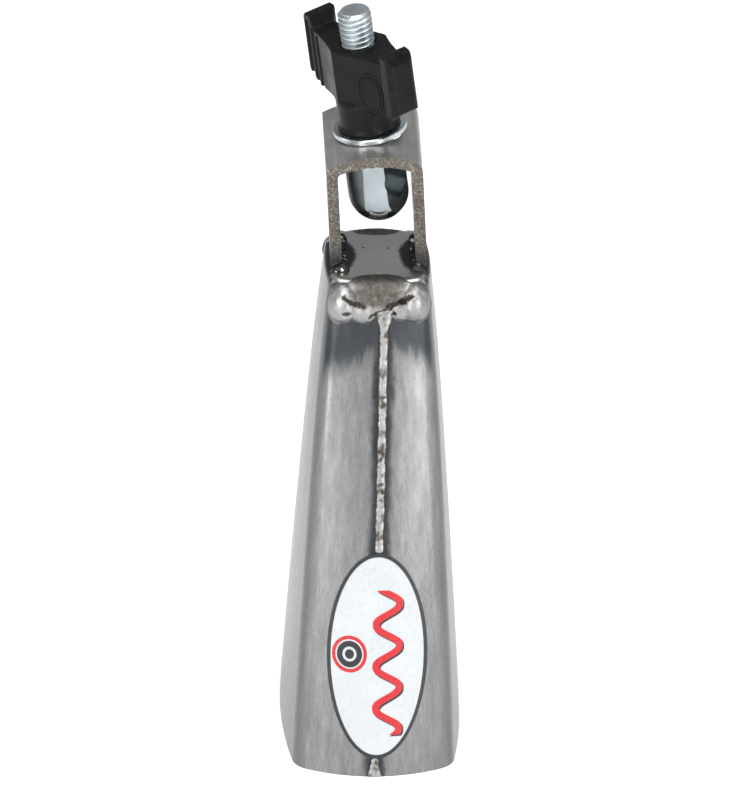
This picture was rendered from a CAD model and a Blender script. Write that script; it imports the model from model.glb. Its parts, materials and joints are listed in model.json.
import json
import math
import random

import bmesh
import bpy
from mathutils import Matrix, Vector, noise
from mathutils.bvhtree import BVHTree


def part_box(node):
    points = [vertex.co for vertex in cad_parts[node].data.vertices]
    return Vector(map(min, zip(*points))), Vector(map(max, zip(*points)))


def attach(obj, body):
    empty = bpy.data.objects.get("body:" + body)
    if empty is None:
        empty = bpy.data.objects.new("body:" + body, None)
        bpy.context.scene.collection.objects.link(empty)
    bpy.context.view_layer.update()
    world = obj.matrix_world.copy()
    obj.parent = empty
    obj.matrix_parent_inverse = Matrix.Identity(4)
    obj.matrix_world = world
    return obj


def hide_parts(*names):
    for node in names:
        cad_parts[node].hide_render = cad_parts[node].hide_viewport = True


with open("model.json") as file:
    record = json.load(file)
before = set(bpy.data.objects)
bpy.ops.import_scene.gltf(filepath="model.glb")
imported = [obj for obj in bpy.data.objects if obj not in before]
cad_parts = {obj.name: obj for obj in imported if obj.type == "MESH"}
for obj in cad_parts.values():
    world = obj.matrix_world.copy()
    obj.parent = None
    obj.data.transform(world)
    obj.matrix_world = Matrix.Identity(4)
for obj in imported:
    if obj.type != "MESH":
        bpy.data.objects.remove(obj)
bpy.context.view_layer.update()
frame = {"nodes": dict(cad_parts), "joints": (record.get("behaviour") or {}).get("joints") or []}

MM = 0.001
NODES = frame["nodes"]
SHELL = NODES["bell_shell"]

# --- Places and sizes, in metres -------------------------------------------------------------
shell_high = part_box("bell_shell")[1]
label_low, label_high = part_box("oval_label")
crown_z = shell_high.z

joint = next(j for j in frame["joints"] if j["name"] == "wing_nut_turn")
bolt_seat = Vector(joint["pos_m"])
bolt_up = Vector(joint["axis"]).normalized()

FRONT, REAR = -1, 1
# How far each seam has moved along x for each metre of height
SEAM_LEAN = {FRONT: 1.7 * MM / crown_z, REAR: -0.6 * MM / crown_z}
BEAD_PROUD = 0.42 * MM
# The weld's root in the gap between the sheet's edges
ROOT_HALF = 0.39 * MM
ROOT_DEPTH = 1.5 * MM
# How far the nut is turned about the bolt
NUT_TURN = math.radians(-58)


def seam_x(side, z):
    """The seam leans a little across the narrow side: its x at height z."""
    return SEAM_LEAN[side] * z


# --- Camera: a long lens, looking down on the bell's narrow, labelled side -------------------
CAMERA_ELEVATION = math.radians(28.7)
CAMERA_YAW = math.radians(-2.5)
CAMERA_ROLL = math.radians(1.0)
CAMERA_DISTANCE = 7.0
CLIP_END = 40
# In millimetres, as the lens is
SENSOR = 36
VIEW_HEIGHT = 0.2228
VIEW_CENTRE = Vector((-0.0008, 0, 0.1018))


def add_camera():
    """Far off and nearly without perspective; VIEW_HEIGHT fills the frame from top to bottom."""
    data = bpy.data.cameras.new("camera")
    data.sensor_width = SENSOR
    data.lens = SENSOR * CAMERA_DISTANCE / VIEW_HEIGHT
    data.clip_end = CLIP_END
    camera = bpy.data.objects.new("camera", data)
    bpy.context.scene.collection.objects.link(camera)
    back = Vector((
        math.sin(CAMERA_YAW) * math.cos(CAMERA_ELEVATION),
        -math.cos(CAMERA_YAW) * math.cos(CAMERA_ELEVATION),
        math.sin(CAMERA_ELEVATION),
    ))
    camera.location = VIEW_CENTRE + back * CAMERA_DISTANCE
    turn = back.to_track_quat("Z", "Y").to_matrix().to_4x4() @ Matrix.Rotation(CAMERA_ROLL, 4, "Z")
    camera.rotation_euler = turn.to_euler()
    bpy.context.scene.camera = camera


# --- Shader helpers ------------------------------------------------------------------------
class Shader:
    """A material's node tree, with a short method for each kind of node that is used here."""

    def __init__(self, name):
        self.material = bpy.data.materials.new(name)
        self.material.use_nodes = True
        self.tree = self.material.node_tree
        self.surface = self.tree.nodes["Principled BSDF"]
        coordinates = self.node("ShaderNodeTexCoord")
        self.place = coordinates.outputs["Object"]
        self.normal = coordinates.outputs["Normal"]
        self.x, self.y, self.z = (self.math("MULTIPLY", c, 1 / MM) for c in self.axes(self.place))

    def node(self, kind, **settings):
        made = self.tree.nodes.new(kind)
        for key, value in settings.items():
            setattr(made, key, value)
        return made

    def put(self, value, socket):
        """Link an output to a socket, or set the socket's own number or colour."""
        if isinstance(value, bpy.types.NodeSocket):
            self.tree.links.new(value, socket)
        else:
            socket.default_value = value

    def set(self, **inputs):
        """Set the shader's inputs by name, with _ for a space."""
        for key, value in inputs.items():
            self.put(value, self.surface.inputs[key.replace("_", " ")])

    def math(self, operation, first, second=0.0, third=0.0, clamp=False):
        made = self.node("ShaderNodeMath", operation=operation, use_clamp=clamp)
        for value, socket in zip((first, second, third), made.inputs):
            self.put(value, socket)
        return made.outputs[0]

    def squares(self, first, second):
        """The sum of two squares."""
        return self.math("ADD", self.math("MULTIPLY", first, first), self.math("MULTIPLY", second, second))

    def axes(self, vector):
        """The x, y and z of a vector."""
        split = self.node("ShaderNodeSeparateXYZ")
        self.put(vector, split.inputs[0])
        return split.outputs

    def stretch(self, scale, vector=None):
        """The place scaled by a different amount along each axis."""
        made = self.node("ShaderNodeMapping")
        self.put(vector or self.place, made.inputs["Vector"])
        made.inputs["Scale"].default_value = scale
        return made.outputs[0]

    def noise(self, scale, detail=4.0, roughness=0.55, vector=None, distortion=0.0):
        made = self.node("ShaderNodeTexNoise")
        self.put(vector or self.place, made.inputs["Vector"])
        made.inputs["Scale"].default_value = scale
        made.inputs["Detail"].default_value = detail
        made.inputs["Roughness"].default_value = roughness
        made.inputs["Distortion"].default_value = distortion
        return made.outputs["Fac"]

    def fade(self, value, low, high, to_low=0.0, to_high=1.0):
        """Turn value smoothly from to_low at low into to_high at high."""
        made = self.node("ShaderNodeMapRange", interpolation_type="SMOOTHSTEP")
        self.put(value, made.inputs["Value"])
        made.inputs["From Min"].default_value = low
        made.inputs["From Max"].default_value = high
        made.inputs["To Min"].default_value = to_low
        made.inputs["To Max"].default_value = to_high
        return made.outputs[0]

    def mix(self, factor, first, second, blend="MIX"):
        made = self.node("ShaderNodeMix", data_type="RGBA", blend_type=blend)
        self.put(factor, made.inputs["Factor"])
        self.put(first, made.inputs[6])
        self.put(second, made.inputs[7])
        return made.outputs[2]

    def ramp(self, value, *stops):
        """A colour ramp: each stop is (position, colour)."""
        made = self.node("ShaderNodeValToRGB")
        self.put(value, made.inputs[0])
        band = made.color_ramp
        while len(band.elements) < len(stops):
            band.elements.new(1.0)
        for element, (position, colour) in zip(band.elements, stops):
            element.position = position
            element.color = colour
        return made.outputs[0]

    def bump(self, height, distance, strength=1.0, under=None):
        made = self.node("ShaderNodeBump")
        self.put(height, made.inputs["Height"])
        made.inputs["Distance"].default_value = distance
        made.inputs["Strength"].default_value = strength
        if under:
            self.put(under, made.inputs["Normal"])
        return made.outputs[0]


def grey(value, warm=0.0):
    """A grey, a little warmer or cooler, as a colour."""
    return (value * (1 + warm), value, value * (1 - warm), 1.0)


# --- Materials: places in millimetres; the noise and bump helpers work in metres --------------
CROWN = crown_z / MM
STRAP_FOOT = 12.3
SOOT_HALF_X, SOOT_HALF_Y = 6.4, 11.0
CROWN_PITS = ((-3.8, 4.3), (3.3, 3.8))


def seam_offset(shader):
    """How far a point is from the seam of the narrow side that it is on."""
    rear = shader.math("GREATER_THAN", shader.y, 0.0)
    change = SEAM_LEAN[REAR] - SEAM_LEAN[FRONT]
    lean = shader.math("MULTIPLY_ADD", rear, change, SEAM_LEAN[FRONT])
    line = shader.math("MULTIPLY", lean, shader.z)
    return shader.math("ABSOLUTE", shader.math("SUBTRACT", shader.x, line))


def foot_soot(shader):
    """Scorched ovals on the crown, inside the strap's two feet."""
    inwards = shader.math("SUBTRACT", STRAP_FOOT, shader.math("ABSOLUTE", shader.x))
    across = shader.math("DIVIDE", inwards, SOOT_HALF_X)
    along = shader.math("DIVIDE", shader.y, SOOT_HALF_Y)
    reach = shader.squares(across, along)
    ragged = shader.math("MULTIPLY_ADD", shader.noise(420, 3), 0.5, -0.25)
    oval = shader.fade(shader.math("ADD", reach, ragged), 0.70, 1.15, 1, 0)
    return shader.math("MULTIPLY", oval, shader.fade(shader.z, CROWN - 2.5, CROWN - 1.0))


def crown_pits(shader):
    """Two small round pits in the top of the crown."""
    spots = []
    for x, y in CROWN_PITS:
        across = shader.math("SUBTRACT", shader.x, x)
        along = shader.math("SUBTRACT", shader.y, y)
        spots.append(shader.fade(shader.squares(across, along), 0.08, 0.2, 1, 0))
    on_top = shader.fade(shader.z, CROWN - 1.0, CROWN - 0.5)
    return shader.math("MULTIPLY", shader.math("MAXIMUM", *spots), on_top)


def scorch_marks(shader, streaks):
    """Heat marks, from 0 to 1: beside the seams, under the crown's edge and inside the feet."""
    narrow = shader.fade(shader.math("ABSOLUTE", shader.axes(shader.normal)[1]), 0.45, 0.8)
    ragged = shader.noise(1, 4, 0.7, shader.stretch((260, 260, 190)))
    edge = shader.math("MULTIPLY_ADD", ragged, 2.6, seam_offset(shader))
    beside = shader.math("MULTIPLY", shader.fade(edge, 2.6, 5.6, 1, 0), narrow)
    # The dark band under the crown reaches lower towards both sides than near the middle
    aside = shader.math("ABSOLUTE", shader.math("SUBTRACT", shader.x, 3.0))
    slant = shader.math("MULTIPLY_ADD", aside, 0.5, shader.z)
    lower_edge = shader.math("MULTIPLY_ADD", streaks, 12.0, slant)
    under = shader.math("MULTIPLY", shader.fade(lower_edge, 129.0, 138.0), narrow)
    seam, band = shader.math("MULTIPLY", beside, 0.85), shader.math("MULTIPLY", under, 0.75)
    return shader.math("MAXIMUM", shader.math("MAXIMUM", seam, band), foot_soot(shader))


def bell_steel():
    """Brushed sheet, with grain along the height and dark heat marks by the welds."""
    s = Shader("brushed_bell_steel")
    grain = s.noise(1, 5, 0.65, s.stretch((2400, 2400, 22)))
    streaks = s.noise(1, 4, 0.6, s.stretch((520, 520, 9)))
    clouds = s.noise(34, 3)
    scorch = scorch_marks(s, streaks)

    brushed = s.ramp(streaks, (0.25, grey(0.14)), (0.5, grey(0.19)), (0.75, grey(0.25)))
    brushed = s.mix(s.fade(grain, 0.3, 0.75), s.mix(0.25, brushed, grey(0.12)), brushed)
    brushed = s.mix(s.fade(clouds, 0.35, 0.7, 0.0, 0.3), brushed, grey(0.18, 0.02))
    broad = s.fade(s.math("ABSOLUTE", s.axes(s.normal)[0]), 0.55, 0.85)
    brushed = s.mix(s.math("MULTIPLY", broad, 0.6), brushed, grey(0.11))
    crown = s.fade(s.axes(s.normal)[2], 0.6, 0.9)
    brushed = s.mix(crown, brushed, s.ramp(clouds, (0.35, grey(0.42, 0.05)), (0.7, grey(0.52, 0.05))))
    tint = s.ramp(
        scorch, (0.0, grey(1.0)), (0.3, (0.72, 0.71, 0.70, 1)), (0.6, (0.32, 0.35, 0.38, 1)),
        (1.0, (0.08, 0.08, 0.085, 1)),
    )
    pits = crown_pits(s)
    colour = s.mix(pits, s.mix(1.0, brushed, tint, "MULTIPLY"), grey(0.01))

    height = s.math("MULTIPLY_ADD", s.fade(scorch, 0.5, 1.0), s.noise(900, 3), grain)
    s.set(
        Base_Color=colour, Metallic=1.0, Anisotropic=0.3,
        Roughness=s.math("ADD", s.fade(grain, 0.2, 0.8, 0.22, 0.34), s.math("MULTIPLY", scorch, 0.16)),
        Normal=s.bump(height, 0.00003, 0.5),
    )
    tangent = s.node("ShaderNodeTangent", direction_type="RADIAL", axis="Z")
    s.put(tangent.outputs[0], s.surface.inputs["Tangent"])
    return s.material


def weld_steel():
    """Ground weld: bright where the vertex attribute clean is high, sooty in the crevices."""
    s = Shader("weld_steel")
    clean = s.node("ShaderNodeAttribute", attribute_name="clean").outputs["Fac"]
    mottle = s.noise(520, 5, 0.65)
    scratches = s.noise(1, 4, 0.6, s.stretch((1500, 500, 420)))
    level = s.math("MULTIPLY_ADD", s.math("SUBTRACT", mottle, 0.5), 0.7, clean, clamp=True)
    colour = s.ramp(
        level, (0.0, (0.012, 0.011, 0.011, 1)), (0.25, (0.06, 0.052, 0.045, 1)),
        (0.5, (0.13, 0.12, 0.11, 1)), (0.8, (0.27, 0.27, 0.265, 1)),
    )
    colour = s.mix(s.fade(scratches, 0.55, 0.8, 0.0, 0.25), colour, grey(0.35))
    height = s.math("ADD", mottle, s.math("MULTIPLY", scratches, 0.5))
    s.set(
        Base_Color=colour, Metallic=s.fade(level, 0.0, 0.4, 0.5, 1.0),
        Roughness=s.fade(level, 0.1, 0.8, 0.62, 0.42), Normal=s.bump(height, 0.0002, 0.5),
    )
    return s.material


def burnt_weld():
    """Scaled, nearly black weld metal with bright spatter."""
    s = Shader("burnt_weld")
    spatter = s.noise(700, 2, 0.5)
    mottle = s.noise(420, 5, 0.7)
    scale = s.ramp(mottle, (0.3, grey(0.010)), (0.6, grey(0.035, 0.05)), (0.8, grey(0.11, 0.06)))
    bright = s.fade(spatter, 0.60, 0.68)
    s.set(
        Base_Color=s.mix(bright, scale, grey(0.7)), Metallic=0.9,
        Roughness=s.fade(bright, 0.0, 1.0, 0.5, 0.2), Normal=s.bump(mottle, 0.0004, 0.8),
    )
    return s.material


def strap_steel():
    """Mill-finish strap: mottled brown oxide on the cut edges, soot towards the welded feet."""
    s = Shader("strap_steel")
    cut = s.fade(s.math("ABSOLUTE", s.axes(s.normal)[1]), 0.55, 0.85)
    speckle = s.noise(1300, 4, 0.75)
    mottle = s.noise(210, 5, 0.6)
    grain = s.noise(1, 4, 0.6, s.stretch((700, 60, 700)))
    mill = s.ramp(grain, (0.3, grey(0.30, 0.03)), (0.7, grey(0.44, 0.03)))
    mill = s.mix(s.fade(mottle, 0.4, 0.7, 0.0, 0.5), mill, (0.30, 0.275, 0.25, 1))
    oxide = s.ramp(
        speckle, (0.28, (0.035, 0.028, 0.024, 1)), (0.5, (0.098, 0.088, 0.078, 1)),
        (0.72, (0.33, 0.32, 0.30, 1)),
    )
    oxide = s.mix(s.fade(mottle, 0.35, 0.65, 0.0, 0.5), oxide, (0.075, 0.060, 0.048, 1))
    colour = s.mix(cut, mill, oxide)
    soot_line = s.math("MULTIPLY_ADD", mottle, 9.0, s.z)
    soot = s.fade(soot_line, CROWN + 6.0, CROWN + 15.0, 0.9, 0.0)
    s.set(
        Base_Color=s.mix(soot, colour, grey(0.03)), Metallic=0.85,
        Roughness=s.fade(cut, 0.0, 1.0, 0.36, 0.55),
        Normal=s.bump(s.math("MULTIPLY_ADD", cut, speckle, s.math("MULTIPLY", grain, 0.3)), 0.00025, 0.7),
    )
    return s.material


def along_bolt(shader):
    """Distance above the washer's seat, measured along the bolt."""
    dot = shader.node("ShaderNodeVectorMath", operation="DOT_PRODUCT")
    shader.put(shader.place, dot.inputs[0])
    dot.inputs[1].default_value = bolt_up
    level = shader.math("SUBTRACT", dot.outputs["Value"], bolt_seat.dot(bolt_up))
    return shader.math("MULTIPLY", level, 1 / MM)


def chrome_plate():
    """Bright chrome on the eye, turning to bluish zinc on the thread."""
    s = Shader("chrome_plate")
    thread = s.fade(along_bolt(s), -4.5, -3.5)
    smear = s.noise(160, 4, 0.6)
    pores = s.noise(1500, 3, 0.6)
    zinc = s.ramp(smear, (0.3, (0.38, 0.42, 0.44, 1)), (0.7, (0.58, 0.62, 0.63, 1)))
    chrome = s.ramp(smear, (0.3, (0.21, 0.235, 0.24, 1)), (0.7, (0.29, 0.315, 0.33, 1)))
    smooth = s.fade(smear, 0.3, 0.75, 0.10, 0.18)
    s.set(
        Base_Color=s.mix(thread, chrome, zinc), Metallic=1.0,
        Roughness=s.math("MULTIPLY_ADD", thread, 0.2, smooth),
        Normal=s.bump(s.math("MULTIPLY", thread, pores), 0.00006, 0.4),
    )
    return s.material


def zinc_plate():
    """Bright zinc with a faint tumbled texture."""
    s = Shader("zinc_plate")
    smear = s.noise(240, 4, 0.6)
    tumbled = s.noise(1600, 4, 0.7)
    s.set(
        Base_Color=s.ramp(smear, (0.3, (0.40, 0.44, 0.455, 1)), (0.7, (0.58, 0.615, 0.625, 1))),
        Metallic=1.0, Roughness=s.fade(tumbled, 0.3, 0.7, 0.2, 0.36), Normal=s.bump(tumbled, 0.00005, 0.5),
    )
    return s.material


def black_plastic():
    """Satin moulded plastic: fine pebble, faint scuffs and finger wear."""
    s = Shader("black_plastic")
    pebble = s.noise(2600, 3, 0.6)
    scuffs = s.noise(1, 4, 0.6, s.stretch((220, 220, 900)))
    wear = s.noise(150, 4, 0.6)
    s.set(
        Base_Color=s.ramp(wear, (0.3, grey(0.003)), (0.75, grey(0.007))),
        Roughness=s.math("ADD", s.fade(wear, 0.3, 0.7, 0.28, 0.42), s.fade(scuffs, 0.5, 0.8, 0, 0.1)),
        Normal=s.bump(pebble, 0.00004, 0.55), Specular_IOR_Level=0.09,
    )
    return s.material


def insert_brass():
    """Turned brass."""
    s = Shader("insert_brass")
    rings = s.noise(1, 3, 0.6, s.stretch((90, 90, 2600)))
    s.set(
        Base_Color=s.ramp(rings, (0.3, (0.50, 0.36, 0.15, 1)), (0.7, (0.70, 0.53, 0.26, 1))),
        Metallic=1.0, Roughness=s.fade(rings, 0.3, 0.7, 0.25, 0.4), Normal=s.bump(rings, 0.00005, 0.4),
    )
    return s.material


LABEL_BORDER = 1.1
MARK_X, MARK_Z = -7.9, 0.4
MARK_HALF_X, MARK_HALF_Z = 4.95, 5.5
WAVE_X, WAVE_SWING, WAVE_LENGTH = 2.9, 3.3, 12.4
WAVE_DOWN, WAVE_ENDS = 2.0, (21.4, 21.6)


def label_wave(shader, right, up, shift_x, shift_z, width):
    """A stroke of even half-width that swings from side to side along the label."""
    turn = 2 * math.pi / WAVE_LENGTH
    phase = shader.math("MULTIPLY", shader.math("ADD", up, -shift_z), turn)
    swing = shader.math("MULTIPLY_ADD", shader.math("SINE", phase), WAVE_SWING, WAVE_X + shift_x)
    slope = shader.math("MULTIPLY", shader.math("COSINE", phase), WAVE_SWING * turn)
    steep = shader.math("SQRT", shader.math("MULTIPLY_ADD", slope, slope, 1.0))
    aside = shader.math("ABSOLUTE", shader.math("SUBTRACT", right, swing))
    gap = shader.math("DIVIDE", aside, steep)
    stroke = shader.fade(gap, width - 0.06, width + 0.06, 1, 0)
    level = shader.math("ABSOLUTE", shader.math("ADD", up, WAVE_DOWN - shift_z))
    return shader.math("MULTIPLY", stroke, shader.fade(level, *WAVE_ENDS, 1, 0))


def label_print():
    """Pale paper with a black border, a plain red wave with a shadow, and a plain round mark."""
    s = Shader("label_print")
    centre = (label_low + label_high) / 2 / MM
    half = (label_high - label_low) / 2 / MM
    right = s.math("SUBTRACT", s.x, centre.x)
    up = s.math("SUBTRACT", s.z, centre.z)

    def oval(x, z, half_x, half_z, low=0.985, high=1.015):
        """1 inside an oval about (x, z), measured from the label's centre, and 0 outside."""
        across = s.math("DIVIDE", s.math("SUBTRACT", right, x), half_x)
        along = s.math("DIVIDE", s.math("SUBTRACT", up, z), half_z)
        return s.fade(s.math("SQRT", s.squares(across, along)), low, high, 1, 0)

    ink, red = (0.010, 0.010, 0.012, 1), (0.34, 0.008, 0.012, 1)
    paper = s.ramp(s.noise(90, 3), (0.3, (0.33, 0.345, 0.355, 1)), (0.7, (0.36, 0.375, 0.385, 1)))
    colour = s.mix(label_wave(s, right, up, 0.35, -0.45, 1.05), paper, ink)
    colour = s.mix(label_wave(s, right, up, 0.0, 0.0, 1.0), colour, red)
    for size, paint in ((1.0, red), (0.80, paper), (0.72, ink), (0.40, paper), (0.26, ink)):
        ring = oval(MARK_X, MARK_Z, MARK_HALF_X * size, MARK_HALF_Z * size)
        colour = s.mix(ring, colour, paint)
    within = oval(0, 0, half.x - LABEL_BORDER, half.z - LABEL_BORDER, 0.995, 1.005)
    s.set(
        Base_Color=s.mix(within, ink, colour),
        Roughness=s.fade(s.noise(700, 3), 0.3, 0.7, 0.25, 0.36),
        Normal=s.bump(s.noise(300, 2), 0.00003, 0.4), Specular_IOR_Level=0.4,
    )
    return s.material


def floor_paint():
    """A pale, slightly mottled studio sweep."""
    s = Shader("pale_floor")
    s.set(Base_Color=s.ramp(s.noise(3, 3), (0.3, grey(0.88)), (0.7, grey(0.90))), Roughness=0.9)
    return s.material


MATERIALS = {
    "brushed_bell_steel": bell_steel(),
    "weld_steel": weld_steel(),
    "burnt_weld": burnt_weld(),
    "strap_steel": strap_steel(),
    "chrome_plate": chrome_plate(),
    "zinc_plate": zinc_plate(),
    "black_plastic": black_plastic(),
    "insert_brass": insert_brass(),
    "label_print": label_print(),
}

# --- Mesh helpers --------------------------------------------------------------------------
def smoothstep(low, high, value):
    """0 below low, 1 above high, and smooth between."""
    t = min(max((value - low) / (high - low), 0.0), 1.0)
    return t * t * (3 - 2 * t)


def add_piece(name, mesh, body, slot, *stands_for):
    """Add a mesh as a piece that rides on a body and takes one of the record's finishes."""
    piece = bpy.data.objects.new(name, mesh)
    bpy.context.scene.collection.objects.link(piece)
    mesh.materials.clear()
    mesh.materials.append(MATERIALS[slot])
    mesh.polygons.foreach_set("use_smooth", [True] * len(mesh.polygons))
    if stands_for:
        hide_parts(*stands_for)
    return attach(piece, body)


def baked(name, mesh, *modifiers):
    """The mesh with modifiers applied: each is (type, settings)."""
    source = bpy.data.objects.new(name + "_source", mesh)
    bpy.context.scene.collection.objects.link(source)
    for kind, settings in modifiers:
        modifier = source.modifiers.new(kind.lower(), kind)
        for key, value in settings.items():
            setattr(modifier, key, value)
    evaluated = source.evaluated_get(bpy.context.evaluated_depsgraph_get())
    result = bpy.data.meshes.new_from_object(evaluated)
    result.name = name
    bpy.data.objects.remove(source)
    return result


def melted(name, balls, voxel, rounds):
    """Melt ellipsoids, each (centre, radii), into one smooth closed skin."""
    shape = bmesh.new()
    for centre, radii in balls:
        place = Matrix.Translation(centre) @ Matrix.Diagonal((*radii, 1.0))
        bmesh.ops.create_icosphere(shape, subdivisions=4, radius=1.0, matrix=place)
    mesh = bpy.data.meshes.new(name + "_balls")
    shape.to_mesh(mesh)
    shape.free()
    return baked(
        name, mesh, ("REMESH", {"mode": "VOXEL", "voxel_size": voxel}),
        ("SMOOTH", {"factor": 0.5, "iterations": rounds}),
    )


def near_line(point, line):
    """Distance in the XZ plane from a point to a broken line."""
    best = 1.0
    spot = Vector((point.x, point.z))
    for start, end in zip(line, line[1:]):
        a, b = Vector(start), Vector(end)
        along = max(0.0, min(1.0, (spot - a).dot(b - a) / (b - a).length_squared))
        best = min(best, (spot - a.lerp(b, along)).length)
    return best


# --- Crown welds: fat corner lobes with cracks and pits --------------------------------------
WALL_TOP = 16.2 * MM
WALL_BOTTOM = shell_high.y
CORNER_WELDS = {
    FRONT: ("front_corner_weld", "front_crown_weld"),
    REAR: ("rear_corner_weld", "rear_crown_weld"),
}


def wall_y(z):
    """How far out the middle of a narrow wall stands at height z."""
    return WALL_BOTTOM + (WALL_TOP - WALL_BOTTOM) * z / crown_z


# In millimetres from the middle of the crown, with y outwards and x as on the front: each
# lobe's centre and radii, each crack's x and z, and each pit's x and z and its radius
LOBES = [
    ((-9.7, 14.7, -7.2), (5.2, 5.6, 6.4)),
    ((-4.4, 15.0, -8.2), (5.0, 4.9, 5.6)),
    ((10.0, 14.7, -7.0), (4.9, 5.6, 6.3)),
    ((6.2, 14.8, -7.7), (4.6, 4.9, 5.5)),
    ((0.8, 14.3, -6.6), (5.0, 4.6, 5.0)),
    ((0.0, 13.6, -3.0), (13.4, 4.4, 3.4)),
]
CRACKS = [
    [(-10.2, -3.4), (-7.4, -5.4), (-4.2, -6.4)],
    [(-2.2, -10.0), (0.6, -8.4), (3.0, -7.6)],
    [(2.6, -6.6), (5.6, -5.0), (9.2, -3.2)],
]
PITS = [((-9.2, -8.6), 1.3), ((6.4, -5.0), 1.2), ((3.8, -8.8), 1.1)]
# In millimetres
CRACK_DEPTH, PIT_DEPTH = 0.75, 1.1


def lobe_surface(side, spot, own):
    """How far a point of the lobes is sunk, in millimetres, and how clean it is ground."""
    rough = noise.fractal(spot * 900 + Vector((side, 0, 0)), 0.6, 2.0, 4)
    wobble = noise.noise(spot * 260 + Vector((3 * side, 0, 0)))
    crack = min(near_line(own, line) for line in CRACKS) + 0.35 * rough
    cut = 1 - smoothstep(0.15, 0.75, crack)
    pit = max(
        1 - smoothstep(0.55, 1.15, math.hypot((own.x - x) / radius, (own.z - z) / (0.7 * radius)))
        for (x, z), radius in PITS
    )
    sink = CRACK_DEPTH * cut + PIT_DEPTH * pit - 0.12 * wobble - 0.05 * rough
    lip = smoothstep(-13.4, -11.7, own.z + 0.9 * abs(own.x) / 15 + 1.1 * rough)
    brown = smoothstep(10.0, 4.0, abs(own.x + 0.6)) * smoothstep(-8.5, -5.0, own.z)
    bright = 0.80 - 0.50 * brown - 0.12 * smoothstep(3, 10, own.x)
    return sink, max(0.0, bright * lip * (1 - cut) * (1 - pit) + 0.05)


def crown_weld(side):
    """The two ground corner lobes of one narrow side, turned half round for the rear."""
    turn = -side
    half_turn = Matrix.Diagonal((turn, side, 1.0))
    balls = []
    for centre, radii in LOBES:
        place = half_turn @ Vector(centre) * MM + Vector((0, 0, crown_z))
        balls.append((place, Vector(radii) * MM))
    name, node = CORNER_WELDS[side]
    mesh = melted(name, balls, 0.3 * MM, 6)
    clean = mesh.attributes.new("clean", "FLOAT", "POINT")
    normals = [vertex.normal.copy() for vertex in mesh.vertices]
    for vertex, normal in zip(mesh.vertices, normals):
        spot = vertex.co
        own = Vector((spot.x * turn, 0, spot.z - crown_z)) / MM
        sink, clean.data[vertex.index].value = lobe_surface(side, spot, own)
        spot -= normal * sink * MM
        # Nothing reaches through the wall into the bell
        inner = wall_y(spot.z) - 1.0 * MM - 5 * MM * smoothstep(-3.0, -1.0, own.z)
        if spot.y * side < inner:
            spot.y = inner * side
        vertex.co = spot
    return add_piece(name, mesh, "bell", "weld_steel", node)


# --- Seam welds: a scalloped bead down each narrow side -------------------------------------
BEAD_BOTTOM = 0.05 * MM
BEAD_TOP = 138.6 * MM
BEAD_PITCH = 0.3 * MM
BEAD_STEPS = 14
RIPPLE = 2.3 * MM
# The bead's half-width, in millimetres, before its scallops and flares
BEAD_HALF = 1.22
# How far from the seam's middle the wall is solid
GAP_CLEAR = 0.6 * MM
LABEL_MARGIN = 0.5 * MM


def shell_surface(tree, side, x, z):
    """The outside of the shell's narrow wall at (x, z), stepping over the seam's own gap."""
    away = x - seam_x(side, z)
    if abs(away) < GAP_CLEAR:
        x = seam_x(side, z) + math.copysign(GAP_CLEAR, away)
    hit = tree.ray_cast(Vector((x, side * 0.08, z)), Vector((0, -side, 0)))[0]
    return hit.y


def bead_half_width(z):
    """Half the bead's width: scalloped, flared where it meets the crown weld and the rim."""
    scallop = 0.12 * abs(math.sin(math.pi * z / RIPPLE))
    drift = 0.3 * noise.noise(Vector((0, 0, z * 260)))
    flare = 1.6 * smoothstep(BEAD_TOP - 7 * MM, BEAD_TOP - 1 * MM, z) + smoothstep(4 * MM, 0, z)
    return (BEAD_HALF + scallop + drift + flare) * MM


def label_cover(side, z):
    """1 where the label lies over the seam, which is left flush with the wall there."""
    if side == REAR:
        return 0.0
    above_low = smoothstep(label_low.z - LABEL_MARGIN, label_low.z, z)
    return above_low * smoothstep(label_high.z + LABEL_MARGIN, label_high.z, z)


def bead_ring(tree, side, z):
    """One cross-section of the weld, its rippled outside and then its root: (place, clean)."""
    cover = label_cover(side, z)
    middle = seam_x(side, z) + (1 - cover) * 0.12 * MM * noise.noise(Vector((side, 1, z * 90)))
    half = bead_half_width(z) * (1 - cover) + ROOT_HALF * cover
    ring = []
    for step in range(BEAD_STEPS + 1):
        u = 2 * step / BEAD_STEPS - 1
        x = middle + half * u
        crest = max(0.0, 1 - u * u) ** 0.6
        uneven = 4 * noise.noise(Vector((0, side, z * 300)))
        ripple = math.sin(2 * math.pi * (z / RIPPLE + 0.28 * u * u) + uneven)
        grain = noise.fractal(Vector((x, side, z)) * 1100, 0.6, 2, 3)
        proud = BEAD_PROUD * crest * (0.72 + 0.12 * ripple + 0.16 * grain) * (1 - cover)
        edge = smoothstep(1.0, 0.66, abs(u) + 0.2 * grain)
        blotch = noise.fractal(Vector((x, side, 0.6 * z)) * 480, 0.6, 2, 3)
        outside = shell_surface(tree, side, x, z) + side * (proud - 0.02 * MM)
        paint = edge * (0.72 + 0.08 * ripple + 0.2 * grain + 0.6 * blotch)
        ring.append((Vector((x, outside, z)), paint))
    for x in (seam_x(side, z) + ROOT_HALF, seam_x(side, z) - ROOT_HALF):
        ring.append((Vector((x, shell_surface(tree, side, x, z) - side * ROOT_DEPTH, z)), 0.3))
    return ring


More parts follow.
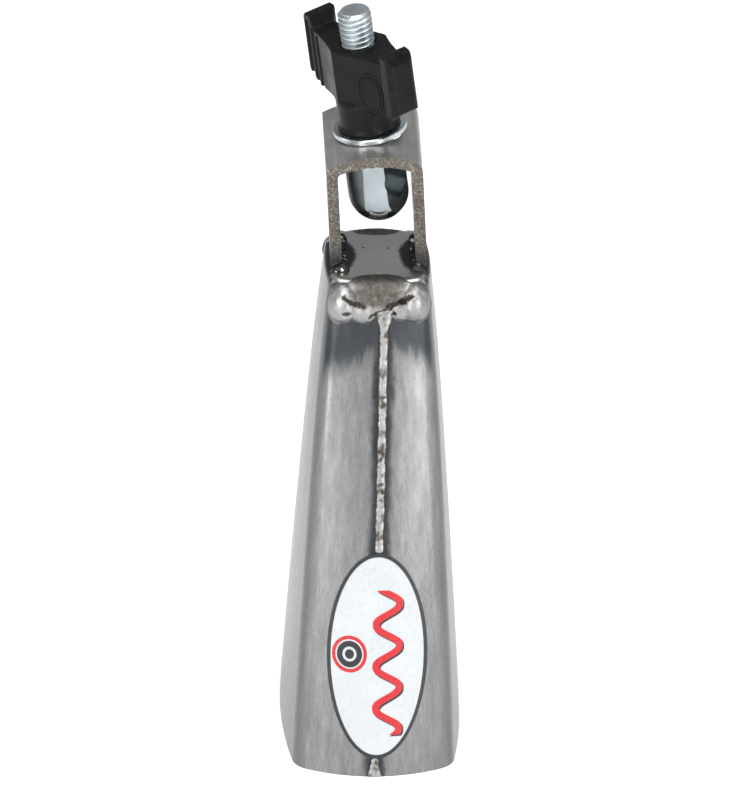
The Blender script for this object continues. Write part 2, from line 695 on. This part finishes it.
def seam_weld(tree, side, name, node):
    """A closed strip of weld all the way down one narrow side."""
    shape = bmesh.new()
    clean = shape.verts.layers.float.new("clean")
    count = round(BEAD_TOP / BEAD_PITCH)
    rings = []
    for row in range(count + 1):
        ring = []
        z = BEAD_BOTTOM + (BEAD_TOP - BEAD_BOTTOM) * row / count
        for place, paint in bead_ring(tree, side, z):
            vertex = shape.verts.new(place)
            vertex[clean] = max(0.0, paint)
            ring.append(vertex)
        rings.append(ring)
    for below, above in zip(rings, rings[1:]):
        for i, vertex in enumerate(below):
            j = (i + 1) % len(below)
            shape.faces.new((vertex, below[j], above[j], above[i]))
    shape.faces.new(rings[0])
    shape.faces.new(list(reversed(rings[-1])))
    bmesh.ops.recalc_face_normals(shape, faces=shape.faces)
    mesh = bpy.data.meshes.new(name)
    shape.to_mesh(mesh)
    shape.free()
    return add_piece(name, mesh, "bell", "weld_steel", node)


# --- Foot welds: lumpy fillets round the strap's two feet -----------------------------------
# How many drops of weld lie along a foot's inner side, and at each end of the foot
SIDE_DROPS, END_DROPS = 10, 4
# How far a foot weld may hang below the top of the crown
FOOT_DEPTH = 3.0 * MM


def foot_weld(node, name, seed):
    """Overlapping drops of weld along the foot's inner side and round its two ends."""
    low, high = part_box(node)
    hand = 1 if (low.x + high.x) > 0 else -1
    rng = random.Random(seed)
    inner, outer = (low.x, high.x) if hand > 0 else (high.x, low.x)
    inner, outer = inner + hand * 1.9 * MM, outer - hand * 1.6 * MM
    drops = []
    for step in range(SIDE_DROPS):
        y = low.y + 2 * MM + (high.y - low.y - 4 * MM) * step / (SIDE_DROPS - 1)
        size = rng.uniform(1.2, 1.7) * MM
        drops.append((Vector((inner, y, crown_z + 0.1 * MM)), Vector((size, size * 1.1, size * 0.9))))
    for end in (low.y + 1.8 * MM, high.y - 1.8 * MM):
        for step in range(END_DROPS):
            x = inner + (outer - inner) * step / (END_DROPS - 1)
            size = rng.uniform(1.4, 1.9) * MM
            sink = 1.5 * MM * (step / (END_DROPS - 1)) ** 2
            drops.append((Vector((x, end, crown_z + 0.3 * MM - sink)), Vector((size, size, size))))
    mesh = melted(name, drops, 0.22 * MM, 3)
    for vertex in mesh.vertices:
        vertex.co += vertex.normal * 0.16 * MM * noise.fractal(vertex.co * 700, 0.6, 2, 3)
        vertex.co.z = max(vertex.co.z, crown_z - FOOT_DEPTH)
    return add_piece(name, mesh, "bell", "burnt_weld", node)


# --- Wing nut: the CAD form with moulded, rounded edges --------------------------------------
# The flat side of a wing, seen from above, in millimetres from the bolt
WEB_START, WEB_END = Vector((-1.5, -8.4)), Vector((16.0, -2.4))
# The oval rings on it: how far along, how high, and each ring's half width and half height
OVAL_ALONG, OVAL_HEIGHT = 12.6, 16.6
OVAL_RINGS = ((4.3, 6.6), (3.3, 5.4))
OVAL_POINTS = 24


def moulded_grip():
    """Round every edge of the grip as a moulding is, and keep its grooves."""
    mesh = NODES["wing_nut_grip"].data.copy()
    rounded = baked(
        "wing_nut_moulding", mesh,
        ("REMESH", {"mode": "VOXEL", "voxel_size": 0.22 * MM}),
        ("SMOOTH", {"factor": 0.5, "iterations": 18}),
        ("DECIMATE", {"ratio": 0.45}),
    )
    return add_piece("wing_nut_moulding", rounded, "wing_nut", "black_plastic", "wing_nut_grip")


def nut_frame():
    """Upright nut to its place: wings along X, the bolt along Z, the origin on the washer."""
    side = Vector((bolt_up.z, 0, -bolt_up.x))
    base = Matrix((side, bolt_up.cross(side), bolt_up)).transposed().to_4x4()
    return Matrix.Translation(bolt_seat) @ base @ Matrix.Rotation(NUT_TURN, 4, "Z")


def oval_emblem(index):
    """Two plain raised oval rings on the flat side of one wing."""
    curve = bpy.data.curves.new(f"wing_oval_{index}", "CURVE")
    curve.dimensions = "3D"
    curve.bevel_depth = 0.22 * MM
    curve.bevel_resolution = 4
    place = nut_frame() @ Matrix.Rotation(math.pi * index, 4, "Z")
    along = (WEB_END - WEB_START).normalized()
    for half_width, half_height in OVAL_RINGS:
        ring = curve.splines.new("NURBS")
        ring.points.add(OVAL_POINTS - 1)
        for step, point in enumerate(ring.points):
            angle = 2 * math.pi * step / OVAL_POINTS
            flat = WEB_START + along * (OVAL_ALONG + half_width * math.cos(angle))
            height = OVAL_HEIGHT + half_height * math.sin(angle)
            point.co = (*(place @ (Vector((*flat, height)) * MM)), 1)
        ring.use_cyclic_u = True
        ring.order_u = 4
    piece = bpy.data.objects.new(curve.name, curve)
    bpy.context.scene.collection.objects.link(piece)
    mesh = bpy.data.meshes.new_from_object(piece.evaluated_get(bpy.context.evaluated_depsgraph_get()))
    bpy.data.objects.remove(piece)
    return add_piece(f"wing_oval_{index}", mesh, "wing_nut", "black_plastic")


# --- The CAD nodes that keep their shape -----------------------------------------------------
def finish_node(name, slot, edge=0.0):
    """Give a CAD node its material, and break its sharp edges if asked."""
    node = NODES[name]
    node.data.materials.clear()
    node.data.materials.append(MATERIALS[slot])
    if edge:
        bevel = node.modifiers.new("broken_edges", "BEVEL")
        bevel.width = edge
        bevel.segments = 3
        bevel.limit_method = "ANGLE"
        bevel.angle_limit = math.radians(50)
        bevel.use_clamp_overlap = True


# --- Studio ---------------------------------------------------------------------------------
def add_light(name, azimuth, elevation, distance, size, power):
    """A soft rectangular light, placed round the object and aimed at its middle."""
    data = bpy.data.lights.new(name, "AREA")
    data.shape = "RECTANGLE"
    data.size, data.size_y = size
    data.energy = power
    light = bpy.data.objects.new(name, data)
    bpy.context.scene.collection.objects.link(light)
    a, e = math.radians(azimuth), math.radians(elevation)
    back = Vector((math.sin(a) * math.cos(e), -math.cos(a) * math.cos(e), math.sin(e)))
    light.location = VIEW_CENTRE + back * distance
    light.rotation_euler = back.to_track_quat("Z", "Y").to_euler()


def add_studio():
    """A pale floor, an even pale sky, a broad key in front, light above and strips at the sides."""
    plane = bmesh.new()
    bmesh.ops.create_grid(plane, x_segments=2, y_segments=2, size=6.0)
    mesh = bpy.data.meshes.new("floor")
    plane.to_mesh(mesh)
    plane.free()
    mesh.materials.append(floor_paint())
    floor = bpy.data.objects.new("floor", mesh)
    bpy.context.scene.collection.objects.link(floor)

    world = bpy.data.worlds.new("studio")
    world.use_nodes = True
    sky = world.node_tree.nodes["Background"]
    sky.inputs["Color"].default_value = (0.92, 0.95, 1.0, 1)
    sky.inputs["Strength"].default_value = 0.4
    bpy.context.scene.world = world

    add_light("key", -8, 52, 1.3, (0.8, 0.5), 9)
    add_light("right_strip", 30, 6, 0.9, (0.08, 0.8), 7)
    add_light("left_strip", -35, 6, 0.9, (0.08, 0.8), 7)
    add_light("left_side", -95, 22, 1.0, (0.3, 0.8), 1.5)
    add_light("right_side", 85, 22, 1.0, (0.2, 0.8), 2.5)
    add_light("overhead", 0, 84, 1.4, (0.9, 0.9), 16)
    bpy.context.scene.view_settings.view_transform = "Standard"


# --- Build ----------------------------------------------------------------------------------
add_camera()
add_studio()

finish_node("bell_shell", "brushed_bell_steel")
finish_node("mount_bracket", "strap_steel", 0.35 * MM)
finish_node("eye_bolt", "chrome_plate")
finish_node("flat_washer", "zinc_plate", 0.2 * MM)
finish_node("wing_nut_insert", "insert_brass")
finish_node("oval_label", "label_print")

crown_weld(FRONT)
crown_weld(REAR)
wall_tree = BVHTree.FromObject(SHELL, bpy.context.evaluated_depsgraph_get())
seam_weld(wall_tree, FRONT, "front_seam_bead", "front_seam_weld")
seam_weld(wall_tree, REAR, "rear_seam_bead", "rear_seam_weld")
foot_weld("bracket_weld_left", "left_foot_weld", 3)
foot_weld("bracket_weld_right", "right_foot_weld", 8)
moulded_grip()
for wing in range(2):
    oval_emblem(wing)
